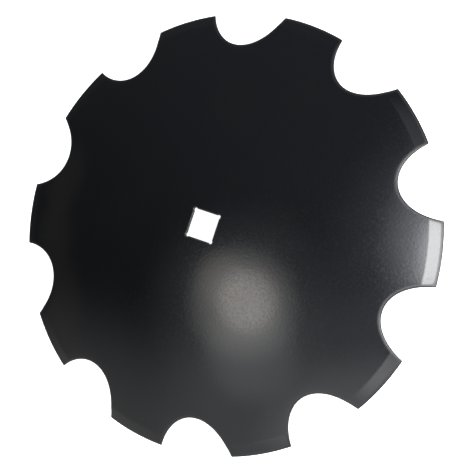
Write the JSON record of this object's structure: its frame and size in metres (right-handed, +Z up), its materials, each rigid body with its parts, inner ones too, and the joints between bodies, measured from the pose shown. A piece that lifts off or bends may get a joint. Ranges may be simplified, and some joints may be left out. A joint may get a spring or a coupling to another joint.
{
  "type": "harrow disc blade",
  "caption": "Dished, notched steel disc blade with a square centre hole and a ground cutting edge, clamped on a harrow's gang axle to cut and turn soil.",
  "frame": {"origin": "centre of the rim circle, in the plane that the tips of the teeth stand on when the blade lies hollow side down", "axes": "+Z up the disc's axis through the crown; the sides of the square hole lie along X and Y"},
  "size_m": [0.66, 0.6583, 0.0835],
  "materials": {
    "black_paint": "semi-gloss black paint over the whole plate, its ground bevel included"
  },
  "bodies": {
    "root": {"disc_blade": "black_paint"}
  },
  "joints": []
}
